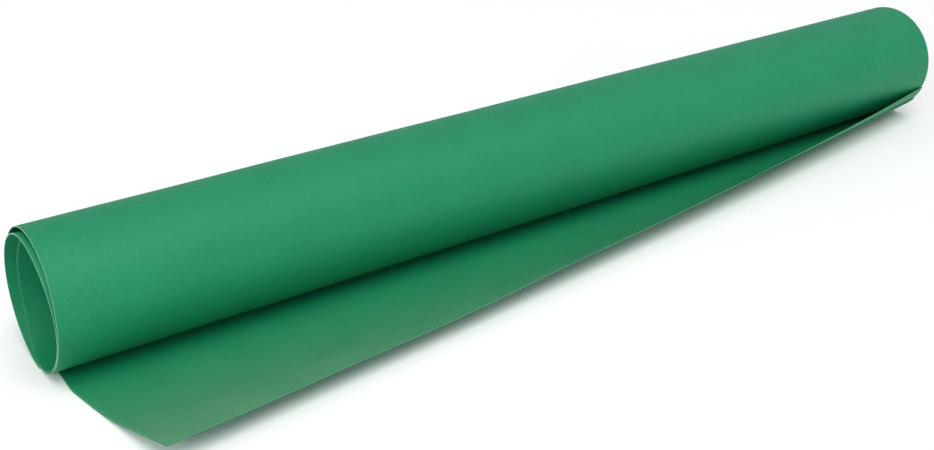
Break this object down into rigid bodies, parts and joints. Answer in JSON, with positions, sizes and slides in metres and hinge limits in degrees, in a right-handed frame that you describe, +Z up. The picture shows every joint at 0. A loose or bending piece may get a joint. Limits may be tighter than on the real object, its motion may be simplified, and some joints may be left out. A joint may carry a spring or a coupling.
{
  "type": "backdrop paper roll",
  "caption": "Green backdrop paper wound into a loose open roll that lies on a table, with a flap of paper running out in front and its loose corner curling up.",
  "frame": {"origin": "centre of the bounding box in plan, on the surface that the roll lies on", "axes": "+X along the roll, towards the end where the flap is narrow; -Y towards the flap, which is the front; +Z up"},
  "size_m": [0.596, 0.1388, 0.0679],
  "materials": {
    "outer_paper": "matte green background paper, uncoated, with a faint fibre mottle",
    "inner_paper": "matte green background paper, uncoated, with a faint fibre mottle"
  },
  "bodies": {
    "roll": {"outer_sheet_roll": "outer_paper", "inner_sheet_roll": "inner_paper"},
    "outer_flap_1": {"outer_sheet_flap_1": "outer_paper"},
    "outer_flap_2": {"outer_sheet_flap_2": "outer_paper"},
    "outer_flap_3": {"outer_sheet_flap_3": "outer_paper"},
    "inner_flap_1": {"inner_sheet_flap_1": "inner_paper"},
    "inner_flap_2": {"inner_sheet_flap_2": "inner_paper"},
    "inner_flap_3": {"inner_sheet_flap_3": "inner_paper"}
  },
  "joints": [
    {"name": "flap_curl", "type": "hinge", "parent": "roll", "child": "outer_flap_1", "pos_m": [-0.28588, -0.02113, 0.00135], "axis": [-0.9983, 0.045, -0.036], "range_deg": [-3, 25], "stiffness_Nm_per_rad": 0.05},
    {"name": "outer_fold_2", "type": "hinge", "parent": "outer_flap_1", "child": "outer_flap_2", "pos_m": [-0.28407, -0.03632, 0.00381], "axis": [-0.9986, 0.0411, -0.033], "range_deg": [-3, 25]},
    {"name": "outer_fold_3", "type": "hinge", "parent": "outer_flap_2", "child": "outer_flap_3", "pos_m": [-0.28227, -0.05138, 0.00718], "axis": [-0.999, 0.0372, -0.0243], "range_deg": [-3, 25]},
    {"name": "top_sheet_lift", "type": "hinge", "parent": "outer_flap_1", "child": "inner_flap_1", "pos_m": [-0.28588, -0.02113, 0.00135], "axis": [-0.9983, 0.045, -0.036], "range_deg": [0, 20]},
    {"name": "inner_fold_2", "type": "hinge", "parent": "inner_flap_1", "child": "inner_flap_2", "pos_m": [-0.28407, -0.03632, 0.00381], "axis": [-0.9986, 0.0411, -0.033], "range_deg": [-3, 25]},
    {"name": "inner_fold_3", "type": "hinge", "parent": "inner_flap_2", "child": "inner_flap_3", "pos_m": [-0.28227, -0.05138, 0.00718], "axis": [-0.999, 0.0372, -0.0243], "range_deg": [-3, 25]}
  ],
  "couplings": [
    {"joint": "outer_fold_2", "follows": "flap_curl", "ratio": 1},
    {"joint": "outer_fold_3", "follows": "flap_curl", "ratio": 1},
    {"joint": "inner_fold_2", "follows": "flap_curl", "ratio": 1},
    {"joint": "inner_fold_3", "follows": "flap_curl", "ratio": 1}
  ]
}
